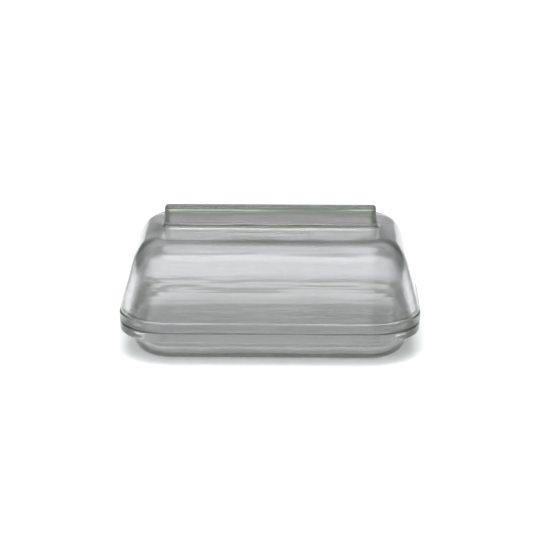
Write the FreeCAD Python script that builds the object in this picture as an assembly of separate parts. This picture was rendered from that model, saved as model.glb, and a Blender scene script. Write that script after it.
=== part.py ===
import FreeCAD, Part
import math
import os

# Covered butter dish in clear pressed glass, in millimetres.
# Two loose pieces: a shallow rectangular base dish, and a lid with a bar handle pressed in one
# with it. The lid's rim stands on the flat rim of the dish, round a raised locating lip.
#
# Frame: +X along the dish, +Y to the back, +Z up. The origin is the middle of the foot's plane.
#
# Both pieces are one section carried round a rounded rectangle. A section is drawn in (inset, z),
# where inset is the distance inwards from the lid's rim, so the four upright corner axes are
# shared by every surface and each wall keeps its thickness round the corners.

# Whole object
LENGTH = 165.1
WIDTH = 101.6
HEIGHT = 76.2
CORNER_RADIUS = 29.0

# Base dish, outside
FOOT_INSET = 17.0
FOOT_ROUND = 9.0
WALL_DRAFT = 5.0
RIM_UNDERSIDE_Z = 12.6
RIM_TOP_Z = 18.6
RIM_INSET = 0.4
RIM_LOWER_ROUND = 1.8
RIM_UPPER_ROUND = 1.5
RIM_FILLET = 1.5

# Base dish, locating lip and well
LIP_OUTER_INSET = 6.0
LIP_INNER_INSET = 9.6
LIP_HEIGHT = 3.6
LIP_ROUND = 1.5
LIP_FILLET = 0.8
FLOOR_Z = 4.5
FLOOR_FILLET = 7.0
WELL_DRAFT = 11.5

# Shallow hollow under the dish, which leaves a flat ring to stand on
RECESS_INSET = 22.0
RECESS_DEPTH = 0.8
RECESS_RAMP = 2.0

# Lid, outside
SEAT_GAP = 0.1
LID_EDGE_ROUND = 1.2
BAND_HEIGHT = 4.2
BAND_BLEND_RADIUS = 1.2
BAND_BLEND_ANGLE = 50.0
WALL_ANGLE = 14.8
SHOULDER_ANGLE = 35.0
UPPER_WALL_RADIUS = 30.0
SHOULDER_RADIUS = 12.8
FLAT_TOP_Z = 64.9

# Lid, inside
INNER_RIM_INSET = 4.6
INNER_EDGE_ROUND = 1.0
INNER_WALL_ANGLE = 13.6
INNER_UPPER_RADIUS = 27.0
INNER_SHOULDER_RADIUS = 12.7
CEILING = 5.5

# Bar handle
HANDLE_FOOT_LENGTH = 118.4
HANDLE_TOP_LENGTH = 116.0
HANDLE_FOOT_THICKNESS = 8.4
HANDLE_TOP_THICKNESS = 7.2
HANDLE_UPRIGHT_ROUND = 2.4
HANDLE_TOP_ROUND = 1.4
HANDLE_FOOT_FILLET = 1.2

LID_SEAT_Z = RIM_TOP_Z + SEAT_GAP
AXIS_X = LENGTH / 2 - CORNER_RADIUS
AXIS_Y = WIDTH / 2 - CORNER_RADIUS
OVERCUT = 2.0
SAME_POINT = 1e-6
NEAR = 0.01
FOOT_EDGE_REACH = 1.0


def sin(degrees):
    return math.sin(math.radians(degrees))


def cos(degrees):
    return math.cos(math.radians(degrees))


def tan(degrees):
    return math.tan(math.radians(degrees))


class Section:
    """An outline in (inset, z), drawn as straight runs and arcs from one point to the next."""

    def __init__(self, inset, z):
        self.point = (inset, z)
        self.first = self.point
        self.edges = []

    def vector(self, point):
        return FreeCAD.Vector(CORNER_RADIUS - point[0], 0, point[1])

    def line(self, inset, z):
        target = (inset, z)
        if math.dist(self.point, target) > SAME_POINT:
            segment = Part.LineSegment(self.vector(self.point), self.vector(target))
            self.edges.append(segment.toShape())
        self.point = target
        return self

    def arc(self, centre, radius, start, end):
        """Arc whose angles are those of the direction outwards from the centre, up from level."""
        middle = (start + end) / 2
        points = []
        for angle in (start, middle, end):
            points.append((centre[0] - radius * cos(angle), centre[1] + radius * sin(angle)))
        self.line(*points[0])
        self.edges.append(Part.Arc(*[self.vector(point) for point in points]).toShape())
        self.point = points[2]
        return self

    def face(self):
        self.line(*self.first)
        return Part.Face(Part.Wire(self.edges))


def carried_round(section):
    """Solid whose section is carried round the rounded rectangle, and filled in the middle."""
    face = section.face()
    box = face.BoundBox
    core = Part.makeBox(2 * AXIS_X, 2 * AXIS_Y, box.ZLength, FreeCAD.Vector(-AXIS_X, -AXIS_Y, box.ZMin))
    pieces = [core]
    corners = [(AXIS_X, AXIS_Y), (-AXIS_X, AXIS_Y), (-AXIS_X, -AXIS_Y), (AXIS_X, -AXIS_Y)]
    up = FreeCAD.Vector(0, 0, 1)
    for quarter, (x, y) in enumerate(corners):
        corner_face = face.copy()
        corner_face.rotate(FreeCAD.Vector(0, 0, 0), up, 90 * quarter)
        corner_face.translate(FreeCAD.Vector(x, y, 0))
        pieces.append(corner_face.revolve(FreeCAD.Vector(x, y, 0), up, 90))
        before_x, before_y = corners[quarter - 1]
        pieces.append(corner_face.extrude(FreeCAD.Vector(before_x - x, before_y - y, 0)))
    return pieces[0].multiFuse(pieces[1:]).removeSplitter()


def foot_and_rim():
    """Outside of the base dish: foot, drafted wall, wide rim and the lip's outer face."""
    section = Section(CORNER_RADIUS, 0)
    section.arc((FOOT_INSET, FOOT_ROUND), FOOT_ROUND, -90, -WALL_DRAFT)
    fillet_z = RIM_UNDERSIDE_Z - RIM_FILLET
    wall_inset, wall_z = section.point
    run = fillet_z + RIM_FILLET * sin(WALL_DRAFT) - wall_z
    fillet_inset = wall_inset - run * tan(WALL_DRAFT) - RIM_FILLET * cos(WALL_DRAFT)
    section.arc((fillet_inset, fillet_z), RIM_FILLET, 180 - WALL_DRAFT, 90)
    lower = RIM_LOWER_ROUND
    section.arc((RIM_INSET + lower, RIM_UNDERSIDE_Z + lower), lower, -90, 0)
    upper = RIM_UPPER_ROUND
    section.arc((RIM_INSET + upper, RIM_TOP_Z - upper), upper, 0, 90)
    section.arc((LIP_OUTER_INSET - LIP_FILLET, RIM_TOP_Z + LIP_FILLET), LIP_FILLET, -90, -180)
    lip_top = RIM_TOP_Z + LIP_HEIGHT
    section.arc((LIP_OUTER_INSET + LIP_ROUND, lip_top - LIP_ROUND), LIP_ROUND, 0, 90)
    section.line(CORNER_RADIUS, lip_top)
    return section


def well():
    """Hollow of the base dish: flat floor, rounded into a drafted wall, up through the lip."""
    lip_top = RIM_TOP_Z + LIP_HEIGHT
    lip_centre = (LIP_INNER_INSET - LIP_ROUND, lip_top - LIP_ROUND)
    wall_top = lip_centre[0] + LIP_ROUND * cos(WELL_DRAFT)
    wall_top_z = lip_centre[1] + LIP_ROUND * sin(WELL_DRAFT)
    fillet_z = FLOOR_Z + FLOOR_FILLET
    wall_foot_z = fillet_z - FLOOR_FILLET * sin(WELL_DRAFT)
    wall_foot = wall_top + (wall_top_z - wall_foot_z) * tan(WELL_DRAFT)
    fillet_inset = wall_foot + FLOOR_FILLET * cos(WELL_DRAFT)
    section = Section(CORNER_RADIUS, FLOOR_Z)
    section.arc((fillet_inset, fillet_z), FLOOR_FILLET, -90, -WELL_DRAFT)
    section.arc(lip_centre, LIP_ROUND, 180 - WELL_DRAFT, 90)
    section.line(section.point[0], lip_top + OVERCUT)
    section.line(CORNER_RADIUS, lip_top + OVERCUT)
    return section


def foot_recess():
    """Shallow hollow under the floor."""
    section = Section(CORNER_RADIUS, -OVERCUT)
    section.line(RECESS_INSET, -OVERCUT)
    section.line(RECESS_INSET, 0)
    section.line(RECESS_INSET + RECESS_RAMP, RECESS_DEPTH)
    section.line(CORNER_RADIUS, RECESS_DEPTH)
    return section


def shoulder(section, top_z, wall_angle, upper_radius, shoulder_radius):
    """Sloping wall, then two tangent arcs that bend it over into the level top."""
    wall_inset, wall_z = section.point
    rise = shoulder_radius * (1 - sin(SHOULDER_ANGLE))
    upper_rise = upper_radius * (sin(SHOULDER_ANGLE) - sin(wall_angle))
    wall_rise = top_z - rise - upper_rise - wall_z
    upper_inset = wall_inset + wall_rise * tan(wall_angle)
    upper_centre_z = wall_z + wall_rise - upper_radius * sin(wall_angle)
    upper_centre = (upper_inset + upper_radius * cos(wall_angle), upper_centre_z)
    section.arc(upper_centre, upper_radius, wall_angle, SHOULDER_ANGLE)
    centre = (section.point[0] + shoulder_radius * cos(SHOULDER_ANGLE), top_z - shoulder_radius)
    section.arc(centre, shoulder_radius, SHOULDER_ANGLE, 90)
    section.line(CORNER_RADIUS, top_z)
    return section


def lid_outside():
    """Outside of the lid: upright rim band, soft step, leaning wall, shoulder and flat top."""
    section = Section(CORNER_RADIUS, LID_SEAT_Z)
    edge = LID_EDGE_ROUND
    section.arc((edge, LID_SEAT_Z + edge), edge, -90, 0)
    blend = BAND_BLEND_RADIUS
    band_centre = (blend, LID_SEAT_Z + BAND_HEIGHT)
    section.arc(band_centre, blend, 0, BAND_BLEND_ANGLE)
    step_centre_inset = band_centre[0] - 2 * blend * cos(BAND_BLEND_ANGLE)
    step_centre_z = band_centre[1] + 2 * blend * sin(BAND_BLEND_ANGLE)
    section.arc((step_centre_inset, step_centre_z), blend, 180 + BAND_BLEND_ANGLE, 180 + WALL_ANGLE)
    return shoulder(section, FLAT_TOP_Z, WALL_ANGLE, UPPER_WALL_RADIUS, SHOULDER_RADIUS)


def lid_hollow():
    """Inside of the lid, flared at its mouth by the rounded lower edge of the glass."""
    section = Section(CORNER_RADIUS, LID_SEAT_Z - OVERCUT)
    edge = INNER_EDGE_ROUND
    centre = (INNER_RIM_INSET - edge, LID_SEAT_Z + edge)
    section.line(centre[0], LID_SEAT_Z - OVERCUT)
    section.arc(centre, edge, -90, -180 + INNER_WALL_ANGLE)
    ceiling_z = FLAT_TOP_Z - CEILING
    return shoulder(section, ceiling_z, INNER_WALL_ANGLE, INNER_UPPER_RADIUS, INNER_SHOULDER_RADIUS)


def level_rectangle(length, width, z):
    x = length / 2
    y = width / 2
    corners = [(x, y), (-x, y), (-x, -y), (x, -y), (x, y)]
    return Part.makePolygon([FreeCAD.Vector(*corner, z) for corner in corners])


def is_upright(edge):
    ends = edge.Vertexes
    return abs(ends[0].Z - ends[1].Z) > HANDLE_TOP_ROUND


def handle():
    """Tapered bar whose lower end is sunk into the glass of the lid's top."""
    sunk_z = FLAT_TOP_Z - CEILING / 2
    draft = (HEIGHT - sunk_z) / (HEIGHT - FLAT_TOP_Z)
    sunk_length = HANDLE_TOP_LENGTH + (HANDLE_FOOT_LENGTH - HANDLE_TOP_LENGTH) * draft
    sunk_thickness = HANDLE_TOP_THICKNESS + (HANDLE_FOOT_THICKNESS - HANDLE_TOP_THICKNESS) * draft
    low = level_rectangle(sunk_length, sunk_thickness, sunk_z)
    high = level_rectangle(HANDLE_TOP_LENGTH, HANDLE_TOP_THICKNESS, HEIGHT)
    bar = Part.makeLoft([low, high], True, True)
    bar = bar.makeFillet(HANDLE_UPRIGHT_ROUND, [edge for edge in bar.Edges if is_upright(edge)])
    top_edges = [edge for edge in bar.Edges if edge.BoundBox.ZMin > HEIGHT - NEAR]
    return bar.makeFillet(HANDLE_TOP_ROUND, top_edges)


def is_handle_foot(edge):
    """True for an edge where the bar's sides meet the lid's top."""
    box = edge.BoundBox
    near_top = box.ZMax < FLAT_TOP_Z + NEAR and box.ZMin > FLAT_TOP_Z - CEILING / 2
    inside_x = max(abs(box.XMin), abs(box.XMax)) < HANDLE_FOOT_LENGTH / 2 + FOOT_EDGE_REACH
    inside_y = max(abs(box.YMin), abs(box.YMax)) < HANDLE_FOOT_THICKNESS / 2 + FOOT_EDGE_REACH
    return near_top and inside_x and inside_y


def base_dish():
    return carried_round(foot_and_rim()).cut(carried_round(well())).cut(carried_round(foot_recess()))


def lid():
    shell = carried_round(lid_outside())
    joined = shell.fuse(handle()).removeSplitter()
    foot_edges = [edge for edge in joined.Edges if is_handle_foot(edge)]
    filleted = joined.makeFillet(HANDLE_FOOT_FILLET, foot_edges)
    return filleted.cut(carried_round(lid_hollow()))


def main():
    os.makedirs("parts", exist_ok=True)
    for name, make in (("base_dish", base_dish), ("lid", lid)):
        shape = make()
        solid = shape.Solids[0]
        print(name, "solids", len(shape.Solids), "valid", shape.isValid(), "volume", round(solid.Volume))
        solid.exportStep("parts/" + name + ".step")


main()
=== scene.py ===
import math

import bmesh
import bpy
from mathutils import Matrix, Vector, noise


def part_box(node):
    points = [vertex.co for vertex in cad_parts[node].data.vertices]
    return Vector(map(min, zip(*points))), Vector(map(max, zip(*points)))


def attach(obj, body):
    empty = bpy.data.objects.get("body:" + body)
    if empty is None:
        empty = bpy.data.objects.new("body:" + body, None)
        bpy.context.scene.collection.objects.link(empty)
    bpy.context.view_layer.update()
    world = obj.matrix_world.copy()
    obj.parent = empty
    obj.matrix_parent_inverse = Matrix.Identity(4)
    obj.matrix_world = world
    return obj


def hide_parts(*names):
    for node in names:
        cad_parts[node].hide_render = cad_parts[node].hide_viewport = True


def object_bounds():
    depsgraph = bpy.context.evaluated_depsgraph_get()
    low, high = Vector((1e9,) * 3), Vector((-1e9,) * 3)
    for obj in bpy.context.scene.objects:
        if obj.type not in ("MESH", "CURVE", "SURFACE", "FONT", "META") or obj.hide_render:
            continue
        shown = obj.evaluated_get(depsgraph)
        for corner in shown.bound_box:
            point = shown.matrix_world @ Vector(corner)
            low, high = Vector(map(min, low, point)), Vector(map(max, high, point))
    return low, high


# Covered butter dish in clear pressed glass: the dish and its lid are each one closed mesh, made by
# carrying a section round a rounded rectangle. A section is drawn in (inset, z), where inset is the
# distance inwards from the lid's rim. Lengths are in metres, angles in degrees.

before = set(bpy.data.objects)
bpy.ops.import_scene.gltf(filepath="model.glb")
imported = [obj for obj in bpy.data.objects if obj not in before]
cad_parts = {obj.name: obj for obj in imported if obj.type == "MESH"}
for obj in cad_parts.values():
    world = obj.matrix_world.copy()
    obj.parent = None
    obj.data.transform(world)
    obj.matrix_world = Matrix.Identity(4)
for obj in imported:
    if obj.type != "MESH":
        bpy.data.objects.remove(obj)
cad_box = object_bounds()
box_low, box_high = Vector(cad_box[0]), Vector(cad_box[1])

MM = 0.001
HALF_LENGTH = (box_high.x - box_low.x) / 2
HALF_WIDTH = (box_high.y - box_low.y) / 2
TOP_Z = box_high.z
CORNER_RADIUS = 29 * MM
AXIS_X = HALF_LENGTH - CORNER_RADIUS
AXIS_Y = HALF_WIDTH - CORNER_RADIUS

# Mesh density: segments along each side and round each corner of a ring, the length of a step along
# a run and the gap below which there is no run, degrees per step of an arc and its fewest steps,
# rings over the lid's flat top and up the handle, and the angles of the handle's rounded edges
LONG_STEPS = 56
SHORT_STEPS = 24
CORNER_STEPS = 20
RUN_STEP = 2.2 * MM
SAME_POINT = 1e-7
ARC_STEP = 6.0
FEWEST_ARC_STEPS = 3
TOP_STEPS = 12
HANDLE_STEPS = 16
FOOT_FILLET_ANGLES = range(10, 100, 10)
TOP_ROUND_ANGLES = range(15, 105, 15)

# Base dish
RIM_TOP_Z = 18.6 * MM
RIM_UNDERSIDE_Z = 12.6 * MM
RIM_INSET = 0.4 * MM
RIM_FILLET = 1.5 * MM
RIM_LOWER_ROUND = 1.8 * MM
RIM_UPPER_ROUND = 1.5 * MM
FOOT_INSET = 17 * MM
FOOT_ROUND = 9 * MM
WALL_DRAFT = 5.0
LIP_TOP_Z = 22.2 * MM
LIP_FILLET = 0.8 * MM
LIP_OUTER_INSET = 6 * MM
LIP_INNER_INSET = 9.6 * MM
LIP_ROUND = 1.5 * MM
FLOOR_Z = 4.5 * MM
FLOOR_FILLET = 7 * MM
WELL_DRAFT = 11.5
FLOOR_END = CORNER_RADIUS - 0.5 * MM
RECESS_INSET = 22 * MM
RECESS_DEPTH = 0.8 * MM
RECESS_RAMP = 2 * MM

# Lid
SEAT_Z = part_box("lid")[0].z
EDGE_ROUND = 1.2 * MM
BAND_HEIGHT = 4.2 * MM
BAND_BLEND = 1.2 * MM
BAND_BLEND_ANGLE = 50.0
WALL_ANGLE = 14.8
SHOULDER_ANGLE = 35.0
UPPER_WALL_RADIUS = 30 * MM
SHOULDER_RADIUS = 12.8 * MM
FLAT_TOP_Z = 64.9 * MM
INNER_RIM_INSET = 4.6 * MM
INNER_EDGE_ROUND = 1 * MM
INNER_WALL_ANGLE = 13.6
INNER_UPPER_RADIUS = 27 * MM
INNER_SHOULDER_RADIUS = 12.7 * MM
CEILING_THICKNESS = 5.5 * MM
CEILING_Z = FLAT_TOP_Z - CEILING_THICKNESS

# Bar handle, with half its length and half its thickness at the foot and at the top
HANDLE_FOOT = (59.2 * MM, 4.2 * MM)
HANDLE_TOP = (58 * MM, 3.6 * MM)
HANDLE_UPRIGHT_ROUND = 2.4 * MM
HANDLE_TOP_ROUND = 1.4 * MM
HANDLE_FOOT_FILLET = 1.2 * MM

# Width of the flat top over which its rings change from the lid's outline to the handle's
TOP_BLEND = 8 * MM


def sin(degrees):
    return math.sin(math.radians(degrees))


def cos(degrees):
    return math.cos(math.radians(degrees))


def tan(degrees):
    return math.tan(math.radians(degrees))


class Section:
    """Stations (inset, z) along a section, with runs and arcs divided evenly."""

    def __init__(self, inset, z):
        self.stations = [(inset, z)]

    def line(self, inset, z):
        start = self.stations[-1]
        length = math.dist(start, (inset, z))
        if length > SAME_POINT:
            steps = max(1, round(length / RUN_STEP))
            for step in range(1, steps + 1):
                share = step / steps
                step_inset = start[0] + (inset - start[0]) * share
                step_z = start[1] + (z - start[1]) * share
                self.stations.append((step_inset, step_z))
        return self

    def arc(self, centre, radius, start, end):
        """Arc whose angles are those of the direction outwards from the centre, up from level."""
        steps = max(FEWEST_ARC_STEPS, round(abs(end - start) / ARC_STEP))
        for step in range(steps + 1):
            angle = start + (end - start) * step / steps
            point = (centre[0] - radius * cos(angle), centre[1] + radius * sin(angle))
            if step == 0:
                self.line(*point)
            else:
                self.stations.append(point)
        return self

    def rings(self):
        return [carried_ring(inset, z) for inset, z in self.stations]


def rounded_ring(half_x, half_y, radius, height):
    """Points round a rounded rectangle, as many on every ring. height is a function of x and y."""
    axis_x = half_x - radius
    axis_y = half_y - radius
    corners = [(axis_x, axis_y), (-axis_x, axis_y), (-axis_x, -axis_y), (axis_x, -axis_y)]
    sides = [SHORT_STEPS, LONG_STEPS, SHORT_STEPS, LONG_STEPS]
    points = []
    for quarter, (corner, steps) in enumerate(zip(corners, sides)):
        before = corners[quarter - 1]
        outward = (radius * cos(90 * quarter), radius * sin(90 * quarter))
        for step in range(steps):
            share = step / steps
            x = before[0] + (corner[0] - before[0]) * share + outward[0]
            y = before[1] + (corner[1] - before[1]) * share + outward[1]
            points.append((x, y))
        for step in range(CORNER_STEPS):
            angle = 90 * (quarter + step / CORNER_STEPS)
            points.append((corner[0] + radius * cos(angle), corner[1] + radius * sin(angle)))
    return [Vector((x, y, height(x, y))) for x, y in points]


def carried_ring(inset, z):
    half_x = HALF_LENGTH - inset
    half_y = HALF_WIDTH - inset
    return rounded_ring(half_x, half_y, CORNER_RADIUS - inset, lambda x, y: z)


def between(ring_a, ring_b, share, height):
    """Ring part of the way from one ring to another, at the height over each point."""
    points = [a.lerp(b, share) for a, b in zip(ring_a, ring_b)]
    return [Vector((p.x, p.y, height(p.x, p.y))) for p in points]


def cap(verts, faces, ring_start, core_x, core_y, z):
    """Grid over the rectangle inside a ring, joined to the ring by quads and corner fans."""
    first = len(verts)
    for row in range(SHORT_STEPS + 1):
        for column in range(LONG_STEPS + 1):
            x = core_x * (2 * column / LONG_STEPS - 1)
            y = core_y * (2 * row / SHORT_STEPS - 1)
            verts.append(Vector((x, y, z)))

    def core(column, row):
        return first + row * (LONG_STEPS + 1) + column

    for row in range(SHORT_STEPS):
        for column in range(LONG_STEPS):
            near = [core(column, row), core(column + 1, row)]
            far = [core(column + 1, row + 1), core(column, row + 1)]
            faces.append(near + far)
    right = [core(LONG_STEPS, row) for row in range(SHORT_STEPS + 1)]
    back = [core(column, SHORT_STEPS) for column in range(LONG_STEPS, -1, -1)]
    left = [core(0, row) for row in range(SHORT_STEPS, -1, -1)]
    front = [core(column, 0) for column in range(LONG_STEPS + 1)]
    count = 2 * (LONG_STEPS + SHORT_STEPS) + 4 * CORNER_STEPS
    at = 0
    for side in (right, back, left, front):
        for step in range(len(side) - 1):
            a = ring_start + at
            b = ring_start + (at + 1) % count
            faces.append([a, b, side[step + 1], side[step]])
            at += 1
        for step in range(CORNER_STEPS):
            a = ring_start + at
            b = ring_start + (at + 1) % count
            faces.append([a, b, side[-1]])
            at += 1


def loft(name, rings, first_core, last_core):
    """Closed mesh through the rings. Each core is (half length, half width, z) of a cap's grid."""
    verts = [point for ring in rings for point in ring]
    faces = []
    count = len(rings[0])
    for index in range(len(rings) - 1):
        low = index * count
        high = low + count
        for step in range(count):
            following = (step + 1) % count
            faces.append([low + step, low + following, high + following, high + step])
    cap(verts, faces, 0, *first_core)
    cap(verts, faces, (len(rings) - 1) * count, *last_core)
    mesh = bpy.data.meshes.new(name)
    mesh.from_pydata(verts, [], faces)
    face_outwards(mesh)
    mesh.shade_smooth()
    piece = bpy.data.objects.new(name, mesh)
    bpy.context.scene.collection.objects.link(piece)
    return piece


def face_outwards(mesh):
    """Turn every face outwards."""
    work = bmesh.new()
    work.from_mesh(mesh)
    bmesh.ops.recalc_face_normals(work, faces=work.faces)
    work.to_mesh(mesh)
    work.free()


def shoulder(section, top_z, wall_angle, upper_radius, shoulder_radius):
    """Sloping wall, then two tangent arcs that bend it over into the level top."""
    wall_inset, wall_z = section.stations[-1]
    rise = shoulder_radius * (1 - sin(SHOULDER_ANGLE))
    upper_rise = upper_radius * (sin(SHOULDER_ANGLE) - sin(wall_angle))
    wall_rise = top_z - rise - upper_rise - wall_z
    upper_inset = wall_inset + wall_rise * tan(wall_angle)
    upper_centre_z = wall_z + wall_rise - upper_radius * sin(wall_angle)
    upper_centre = (upper_inset + upper_radius * cos(wall_angle), upper_centre_z)
    section.arc(upper_centre, upper_radius, wall_angle, SHOULDER_ANGLE)
    centre_inset = section.stations[-1][0] + shoulder_radius * cos(SHOULDER_ANGLE)
    section.arc((centre_inset, top_z - shoulder_radius), shoulder_radius, SHOULDER_ANGLE, 90)
    return section


def lid_inside():
    """From the ceiling down to the mouth and round its lower edge."""
    centre = (INNER_RIM_INSET - INNER_EDGE_ROUND, SEAT_Z + INNER_EDGE_ROUND)
    section = Section(centre[0], SEAT_Z)
    section.arc(centre, INNER_EDGE_ROUND, -90, -180 + INNER_WALL_ANGLE)
    shoulder(section, CEILING_Z, INNER_WALL_ANGLE, INNER_UPPER_RADIUS, INNER_SHOULDER_RADIUS)
    return section.rings()[::-1]


def lid_outside():
    """Lower edge, upright rim band, soft step, leaning wall and shoulder, up to the flat top."""
    section = Section(EDGE_ROUND, SEAT_Z)
    section.arc((EDGE_ROUND, SEAT_Z + EDGE_ROUND), EDGE_ROUND, -90, 0)
    band_centre = (BAND_BLEND, SEAT_Z + BAND_HEIGHT)
    section.arc(band_centre, BAND_BLEND, 0, BAND_BLEND_ANGLE)
    step_inset = band_centre[0] - 2 * BAND_BLEND * cos(BAND_BLEND_ANGLE)
    step_z = band_centre[1] + 2 * BAND_BLEND * sin(BAND_BLEND_ANGLE)
    section.arc((step_inset, step_z), BAND_BLEND, 180 + BAND_BLEND_ANGLE, 180 + WALL_ANGLE)
    return shoulder(section, FLAT_TOP_Z, WALL_ANGLE, UPPER_WALL_RADIUS, SHOULDER_RADIUS)


def lid_and_handle_rings():
    """Rings up the outside of the lid, over its flat top to the handle's foot and on up it."""
    outside = lid_outside()
    flat_inset = outside.stations[-1][0]

    def top_height(x, y):
        inset = CORNER_RADIUS - math.hypot(max(abs(x) - AXIS_X, 0), max(abs(y) - AXIS_Y, 0))
        past = max(flat_inset - inset, 0)
        return FLAT_TOP_Z - SHOULDER_RADIUS + math.sqrt(SHOULDER_RADIUS ** 2 - past ** 2)

    last_inset = flat_inset - TOP_BLEND
    rings = [carried_ring(inset, z) for inset, z in outside.stations if inset < last_inset]

    def bar_half(z):
        share = (z - FLAT_TOP_Z) / (TOP_Z - FLAT_TOP_Z)
        return [a + (b - a) * share for a, b in zip(HANDLE_FOOT, HANDLE_TOP)]

    def bar_ring(half, offset, height):
        radius = HANDLE_UPRIGHT_ROUND + offset
        return rounded_ring(half[0] + offset, half[1] + offset, radius, height)

    edge = carried_ring(last_inset, 0)
    foot = bar_ring(HANDLE_FOOT, HANDLE_FOOT_FILLET, top_height)
    for step in range(TOP_STEPS + 1):
        rings.append(between(edge, foot, step / TOP_STEPS, top_height))
    for angle in FOOT_FILLET_ANGLES:
        lift = HANDLE_FOOT_FILLET * (1 - cos(angle))
        offset = HANDLE_FOOT_FILLET * (1 - sin(angle))
        half = bar_half(FLAT_TOP_Z + lift)
        rings.append(bar_ring(half, offset, lambda x, y: top_height(x, y) + lift))
    low = FLAT_TOP_Z + HANDLE_FOOT_FILLET
    high = TOP_Z - HANDLE_TOP_ROUND
    for step in range(1, HANDLE_STEPS + 1):
        z = low + (high - low) * step / HANDLE_STEPS
        rings.append(bar_ring(bar_half(z), 0, lambda x, y: z))
    for angle in TOP_ROUND_ANGLES:
        z = high + HANDLE_TOP_ROUND * sin(angle)
        offset = -HANDLE_TOP_ROUND * (1 - cos(angle))
        rings.append(bar_ring(bar_half(high), offset, lambda x, y: z))
    return rings


def make_lid():
    """Lid and handle: from the ceiling down, round the lower edge and up the outside."""
    rings = lid_inside() + lid_and_handle_rings()
    core = (HANDLE_TOP[0] - HANDLE_UPRIGHT_ROUND, HANDLE_TOP[1] - HANDLE_UPRIGHT_ROUND, TOP_Z)
    return loft("glass_lid", rings, (AXIS_X, AXIS_Y, CEILING_Z), core)


def make_dish():
    """Dish: from the recess underneath, up the outside, over the lip and down into the well."""
    section = Section(RECESS_INSET + RECESS_RAMP, RECESS_DEPTH)
    section.line(RECESS_INSET, 0)
    section.arc((FOOT_INSET, FOOT_ROUND), FOOT_ROUND, -90, -WALL_DRAFT)
    fillet_z = RIM_UNDERSIDE_Z - RIM_FILLET
    wall_inset, wall_z = section.stations[-1]
    run = fillet_z + RIM_FILLET * sin(WALL_DRAFT) - wall_z
    fillet_inset = wall_inset - run * tan(WALL_DRAFT) - RIM_FILLET * cos(WALL_DRAFT)
    section.arc((fillet_inset, fillet_z), RIM_FILLET, 180 - WALL_DRAFT, 90)
    lower = RIM_LOWER_ROUND
    section.arc((RIM_INSET + lower, RIM_UNDERSIDE_Z + lower), lower, -90, 0)
    upper = RIM_UPPER_ROUND
    section.arc((RIM_INSET + upper, RIM_TOP_Z - upper), upper, 0, 90)
    section.arc((LIP_OUTER_INSET - LIP_FILLET, RIM_TOP_Z + LIP_FILLET), LIP_FILLET, -90, -180)
    section.arc((LIP_OUTER_INSET + LIP_ROUND, LIP_TOP_Z - LIP_ROUND), LIP_ROUND, 0, 90)
    lip_centre = (LIP_INNER_INSET - LIP_ROUND, LIP_TOP_Z - LIP_ROUND)
    section.arc(lip_centre, LIP_ROUND, 90, 180 - WELL_DRAFT)
    wall_top, wall_top_z = section.stations[-1]
    fillet_z = FLOOR_Z + FLOOR_FILLET
    wall_foot_z = fillet_z - FLOOR_FILLET * sin(WELL_DRAFT)
    wall_foot = wall_top + (wall_top_z - wall_foot_z) * tan(WELL_DRAFT)
    floor_centre = (wall_foot + FLOOR_FILLET * cos(WELL_DRAFT), fillet_z)
    section.arc(floor_centre, FLOOR_FILLET, -WELL_DRAFT, -90)
    section.line(FLOOR_END, FLOOR_Z)
    recess = (AXIS_X, AXIS_Y, RECESS_DEPTH)
    return loft("glass_dish", section.rings(), recess, (AXIS_X, AXIS_Y, FLOOR_Z))


# Waviness of the pressed glass. Each wave is (cells per metre level, cells per metre upright,
# depth). WAVE_SINK makes most of the noise sink the surface, and WAVE_SHIFT sets waves apart.
OUTER_WAVES = [(22, 45, 0.10 * MM), (55, 160, 0.035 * MM)]
INNER_WAVES = [(28, 58, 0.34 * MM), (56, 105, 0.18 * MM)]
HANDLE_WAVES = [(12, 230, 0.16 * MM), (24, 420, 0.08 * MM)]
WAVE_FADE = 3 * MM
WAVE_SINK = 0.6
WAVE_SHIFT = 7


def pressed_waves(piece, seed):
    """Sink the surface unevenly into the glass, most inside, and not at all where it rests."""
    mesh = piece.data
    well_middle = Vector((0, 0, FLOOR_Z + WAVE_FADE))
    normals = [vertex.normal.copy() for vertex in mesh.vertices]
    for vertex, normal in zip(mesh.vertices, normals):
        co = vertex.co
        faces_in = normal.dot(co - well_middle) < 0
        waves = INNER_WAVES if faces_in else OUTER_WAVES
        if co.z > FLAT_TOP_Z + WAVE_FADE / 2:
            waves = HANDLE_WAVES
        depth = 0
        for number, (level, upright, wave_depth) in enumerate(waves):
            shift = seed + WAVE_SHIFT * number
            at = Vector((co.x * level, co.y * level, co.z * upright + shift))
            depth += wave_depth * (noise.noise(at) + WAVE_SINK)
        vertex.co = co - normal * max(depth, 0) * wave_share(co)


def wave_share(co):
    """0 at the foot, at the rim the lid rests on and at the top of the handle, 1 away from them."""
    gap = min(co.z, TOP_Z - co.z, abs(co.z - SEAT_Z))
    return min(1, max(0, gap / WAVE_FADE))


LID_TINT = (0.754, 0.748, 0.76, 1)
DISH_TINT = (0.80, 0.81, 0.80, 1)

# Painted shade: a dark tint on the lid's end shoulders, standing in for light lost inside the thick
# glass there.
LID_END_PAINTED_SHADE = (0.32, 0.33, 0.32, 1)
# Partly the handle's real deeper green and partly painted shade for light lost inside the solid
# bar.
HANDLE_TINT_AND_SHADE = (0.46, 0.505, 0.425, 1)
# Painted shade: a near-dark tint along the handle's ends and its top edge.
HANDLE_EDGE_PAINTED_SHADE = (0.2, 0.22, 0.185, 1)
# Painted shade: a dark tint at the ends of both rims, standing in for the dark seen slantwise
# through the thick rim.
RIM_END_PAINTED_SHADE = (0.3, 0.335, 0.285, 1)
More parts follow.
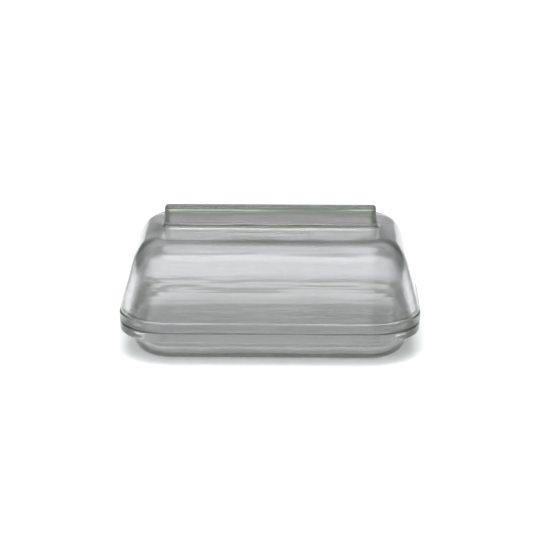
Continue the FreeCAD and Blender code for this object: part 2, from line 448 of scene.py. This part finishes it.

# Painted shade: the glass's tint is darkened by place where thick glass looks dark from light lost
# inside it, partly real depth of tint and partly painted shade. Each row is the reach along the
# dish, the reach upwards and the tint past both: the lid's shoulders at both ends, the handle, the
# handle's ends, its top edge, and the ends of both rims, whose reach is downwards.
EVERYWHERE = (-2, -1)
TINT_AND_PAINTED_SHADE_PLACES = [
    ((62 * MM, 72 * MM), (40 * MM, 54 * MM), LID_END_PAINTED_SHADE),
    (EVERYWHERE, (FLAT_TOP_Z - 2 * MM, TOP_Z), HANDLE_TINT_AND_SHADE),
    ((54.3 * MM, 56.8 * MM), (FLAT_TOP_Z, FLAT_TOP_Z + 2 * MM), HANDLE_EDGE_PAINTED_SHADE),
    (EVERYWHERE, (TOP_Z - 1.6 * MM, TOP_Z - 0.6 * MM), HANDLE_EDGE_PAINTED_SHADE),
    ((70 * MM, 79 * MM), (27 * MM, 23 * MM), RIM_END_PAINTED_SHADE),
]
SMOOTH = {"interpolation_type": "SMOOTHSTEP"}

# Relief too fine for the mesh: noise cells per metre along x, y and z with the noise's detail, how
# much of the relief is streaks, and how deep it is
RIPPLES = (31.5, 31.5, 144)
RIPPLE_DETAIL = 2
STREAKS = (16, 16, 420)
STREAK_DETAIL = 1
STREAK_SHARE = 0.65
BUMP_STRENGTH = 0.25
BUMP_DISTANCE = 0.75 * MM

# Absorption inside the glass, its refraction and the roughness of its surface
DEPTH_COLOUR = (0.42, 0.465, 0.36, 1)
DEPTH_DENSITY = 20
GLASS_IOR = 1.5
GLASS_ROUGHNESS = 0.12


def add_node(tree, kind, inputs, **settings):
    """Outputs of a new shader node, whose inputs are values or other nodes' outputs."""
    made = tree.nodes.new("ShaderNode" + kind)
    for name, value in settings.items():
        setattr(made, name, value)
    for name, value in inputs.items():
        if isinstance(value, bpy.types.NodeSocket):
            tree.links.new(value, made.inputs[name])
        else:
            made.inputs[name].default_value = value
    return made.outputs


def reached(tree, measure, reach):
    """0 before the reach and 1 past it."""
    inputs = {"Value": measure, "From Min": reach[0], "From Max": reach[1]}
    return add_node(tree, "MapRange", inputs, **SMOOTH)["Result"]


def tint_and_painted_shade(tree, place, tint):
    """The glass's tint, darkened as painted shade wherever TINT_AND_PAINTED_SHADE_PLACES says so.
    """
    split = add_node(tree, "SeparateXYZ", {"Vector": place})
    level = add_node(tree, "Math", {0: split["X"]}, operation="ABSOLUTE")["Value"]
    colour = tint
    for level_reach, height_reach, deep_tint_and_shade in TINT_AND_PAINTED_SHADE_PLACES:
        level_share = reached(tree, level, level_reach)
        height_share = reached(tree, split["Z"], height_reach)
        shares = {0: level_share, 1: height_share}
        share = add_node(tree, "Math", shares, operation="MULTIPLY")["Value"]
        inputs = {"Factor": share, "A": colour, "B": deep_tint_and_shade}
        colour = add_node(tree, "Mix", inputs, data_type="RGBA")["Result"]
    return colour


def pressed_glass(name, seed, tint, clarity):
    """Clear grey-green soda-lime glass with faint ripples and finer level streaks."""
    material = bpy.data.materials.new(name)
    material.use_nodes = True
    tree = material.node_tree
    shader = tree.nodes["Principled BSDF"]
    shader.inputs["Transmission Weight"].default_value = clarity
    shader.inputs["IOR"].default_value = GLASS_IOR
    shader.inputs["Roughness"].default_value = GLASS_ROUGHNESS
    place = add_node(tree, "TexCoord", {})["Object"]
    tree.links.new(tint_and_painted_shade(tree, place, tint), shader.inputs["Base Color"])
    heights = []
    for scale, detail, shift in (RIPPLES, RIPPLE_DETAIL, seed), (STREAKS, STREAK_DETAIL, 0):
        mapping = {"Vector": place, "Scale": scale, "Location": (shift, 0, 0)}
        moved = add_node(tree, "Mapping", mapping)["Vector"]
        noise_inputs = {"Vector": moved, "Scale": 1, "Detail": detail}
        heights.append(add_node(tree, "TexNoise", noise_inputs)["Fac"])
    mix_inputs = {"Factor": STREAK_SHARE, "A": heights[0], "B": heights[1]}
    relief = add_node(tree, "Mix", mix_inputs, data_type="FLOAT")["Result"]
    bump_inputs = {"Strength": BUMP_STRENGTH, "Distance": BUMP_DISTANCE, "Height": relief}
    tree.links.new(add_node(tree, "Bump", bump_inputs)["Normal"], shader.inputs["Normal"])
    absorption = {"Color": DEPTH_COLOUR, "Density": DEPTH_DENSITY}
    depth = add_node(tree, "VolumeAbsorption", absorption)["Volume"]
    tree.links.new(depth, tree.nodes["Material Output"].inputs["Volume"])
    return material


FLOOR_HALF = 6.0
FLOOR_GAP = 0.02 * MM
FLOOR_COLOUR = (0.95, 0.95, 0.95, 1)
FLOOR_ROUGHNESS = 0.6
FLOOR_SPECULAR = 0.1
FLOOR_GLOW = 0.13


def add_floor():
    """Plain pale floor that glows a little, so that the shadow on it stays light."""
    mesh = bpy.data.meshes.new("floor")
    half = FLOOR_HALF
    corners = [(-half, -half, 0), (half, -half, 0), (half, half, 0), (-half, half, 0)]
    mesh.from_pydata(corners, [], [[0, 1, 2, 3]])
    floor = bpy.data.objects.new("floor", mesh)
    floor.location.z = box_low.z - FLOOR_GAP
    bpy.context.scene.collection.objects.link(floor)
    material = bpy.data.materials.new("pale_floor")
    material.use_nodes = True
    shader = material.node_tree.nodes["Principled BSDF"]
    shader.inputs["Base Color"].default_value = FLOOR_COLOUR
    shader.inputs["Roughness"].default_value = FLOOR_ROUGHNESS
    shader.inputs["Specular IOR Level"].default_value = FLOOR_SPECULAR
    shader.inputs["Emission Color"].default_value = (1, 1, 1, 1)
    shader.inputs["Emission Strength"].default_value = FLOOR_GLOW
    mesh.materials.append(material)


# Light from all round, by direction. Each reach maps nearness to a direction, 1 being exactly
# towards it, to a strength.
TENT_DIRECTION = (0, -0.42, 0.91)
TENT = {"From Min": -0.15, "From Max": 0.75, "To Min": 0.5, "To Max": 0.62}
TOP_DIRECTION = (0, -0.12, 0.993)
TOP_LIGHT = {"From Min": 0.9, "From Max": 0.97, "To Min": 0.0, "To Max": 4.9}
PANEL_DIRECTION = (-0.3, -0.81, 0.5)
PANEL = {"From Min": 0.72, "From Max": 0.94, "To Min": 0.0, "To Max": 1.15}
LIGHT_COLOUR = (0.97, 0.985, 1.0, 1)


def light_towards(tree, directions, centre, reach):
    """Strength of the light from each direction, by how near it is to the centre."""
    both = {0: directions, 1: centre}
    near = add_node(tree, "VectorMath", both, operation="DOT_PRODUCT")["Value"]
    return add_node(tree, "MapRange", {"Value": near, **reach}, **SMOOTH)["Result"]


def add_lights():
    """White studio tent, a bright soft light overhead and a soft-edged panel to the front left."""
    world = bpy.data.worlds.new("studio")
    bpy.context.scene.world = world
    world.use_nodes = True
    tree = world.node_tree
    directions = add_node(tree, "TexCoord", {})["Generated"]
    tent = light_towards(tree, directions, TENT_DIRECTION, TENT)
    top_light = light_towards(tree, directions, TOP_DIRECTION, TOP_LIGHT)
    panel = light_towards(tree, directions, PANEL_DIRECTION, PANEL)
    above = add_node(tree, "Math", {0: tent, 1: top_light}, operation="ADD")["Value"]
    total = add_node(tree, "Math", {0: above, 1: panel}, operation="ADD")["Value"]
    background = tree.nodes["Background"]
    background.inputs["Color"].default_value = LIGHT_COLOUR
    tree.links.new(total, background.inputs["Strength"])


# The sensor and the lens are in millimetres, and the shift is a share of the sensor
CAMERA_ELEVATION = 17.3
CAMERA_AZIMUTH = 0.97
CAMERA_DISTANCE = 1.1885
CAMERA_SENSOR = 36
CAMERA_LENS = 140.1
CAMERA_SHIFT = (0.0082, -0.0064)


def add_camera():
    """Camera that looks at the middle of the dish from the front and a little above."""
    target = Vector((0, 0, box_high.z / 2))
    data = bpy.data.cameras.new("camera")
    data.sensor_width = CAMERA_SENSOR
    data.lens = CAMERA_LENS
    data.shift_x, data.shift_y = CAMERA_SHIFT
    camera = bpy.data.objects.new("camera", data)
    level = CAMERA_DISTANCE * cos(CAMERA_ELEVATION)
    height = CAMERA_DISTANCE * sin(CAMERA_ELEVATION)
    offset = Vector((level * sin(CAMERA_AZIMUTH), -level * cos(CAMERA_AZIMUTH), height))
    camera.location = target + offset
    camera.rotation_euler = (-offset).to_track_quat("-Z", "Y").to_euler()
    bpy.context.scene.collection.objects.link(camera)
    bpy.context.scene.camera = camera


DISH_SEED = 3.0
DISH_CLARITY = 0.9
LID_SEED = 11.0
LID_CLARITY = 0.94


def finish_piece(piece, body, node, slot, seed, tint, clarity):
    """Wave the piece's surface, give it its glass, and put it in the place of its plain solid."""
    pressed_waves(piece, seed)
    piece.data.materials.append(pressed_glass(slot, seed, tint, clarity))
    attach(piece, body)
    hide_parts(node)


dish = make_dish()
finish_piece(dish, "dish", "base_dish", "base_glass", DISH_SEED, DISH_TINT, DISH_CLARITY)
lid = make_lid()
finish_piece(lid, "cover", "lid", "lid_glass", LID_SEED, LID_TINT, LID_CLARITY)
add_floor()
add_lights()
add_camera()
bpy.context.scene.view_settings.view_transform = "Standard"
